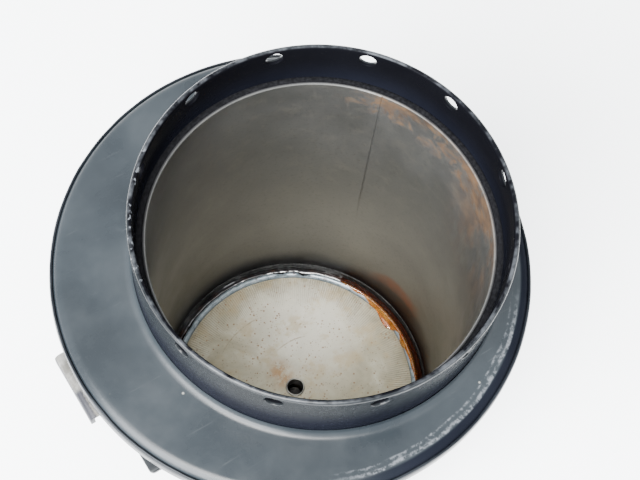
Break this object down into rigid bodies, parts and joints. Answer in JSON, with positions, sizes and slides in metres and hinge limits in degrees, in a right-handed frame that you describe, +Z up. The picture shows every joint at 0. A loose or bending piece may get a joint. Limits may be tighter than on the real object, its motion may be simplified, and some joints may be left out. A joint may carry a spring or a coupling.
{
  "type": "fuel filter canister",
  "caption": "Open double-walled filter canister with an eccentric crimped shoulder, a perforated neck, a drawn bottom pan, a drain screw and a side bracket.",
  "frame": {"origin": "centre of the foot ring's underside, on the axis of the can", "axes": "+Z up along the can's axis; -X towards the wide side of the eccentric shoulder, where the bracket is"},
  "size_m": [0.1187, 0.1172, 0.156],
  "materials": {
    "neck_black": "satin",
    "shoulder_black": "satin",
    "hem_black": "satin, worn to bare metal on one side",
    "shell_black": "satin",
    "sleeve_steel": "dull, stained",
    "spacer": "dull",
    "pan_tinplate": "satin, speckled",
    "pan_edge": "satin",
    "seat_steel": "dull",
    "sealant": "glossy",
    "eyelet_steel": "satin",
    "boss_steel": "turned",
    "gasket": "matt fibre",
    "zinc_steel": "zinc plated",
    "screw_brass": "turned",
    "washer_copper": "dull copper",
    "bar_steel": "polished",
    "bracket_black": "satin",
    "clip_steel": "bright"
  },
  "bodies": {
    "body": {"neck_collar": "neck_black", "shoulder_plate": "shoulder_black", "rim_hem": "hem_black", "flange_backplate": "shell_black", "body_shell": "shell_black", "inner_sleeve": "sleeve_steel", "sleeve_spacer_ring": "spacer", "bottom_pan": "pan_tinplate", "pan_edge_ring": "pan_edge", "pan_seat": "seat_steel", "groove_sealant": "sealant", "drain_eyelet": "eyelet_steel", "bottom_cap": "shell_black", "body_seam_ring": "hem_black", "foot_ring": "shell_black", "drain_boss": "boss_steel", "boss_gasket": "gasket", "boss_locknut": "zinc_steel", "bracket_saddle": "bracket_black", "bracket_ledge": "bracket_black", "bracket_gussets": "bracket_black", "bracket_weld_nuts": "zinc_steel", "bracket_clip": "clip_steel", "clip_rivets": "zinc_steel"},
    "seal": {"drain_washer": "washer_copper"},
    "drain": {"drain_screw": "screw_brass", "drain_tommy_bar": "bar_steel"}
  },
  "joints": [
    {"name": "drain_lift", "type": "slide", "parent": "body", "child": "seal", "axis": [0, 0, -1], "range_m": [0, 0.00375]},
    {"name": "drain_turn", "type": "hinge", "parent": "seal", "child": "drain", "pos_m": [0, 0, 0.006], "axis": [0, 0, -1], "range_deg": [0, 1080]}
  ],
  "couplings": [
    {"joint": "drain_turn", "follows": "drain_lift", "rad_per_m": 5026.5}
  ]
}
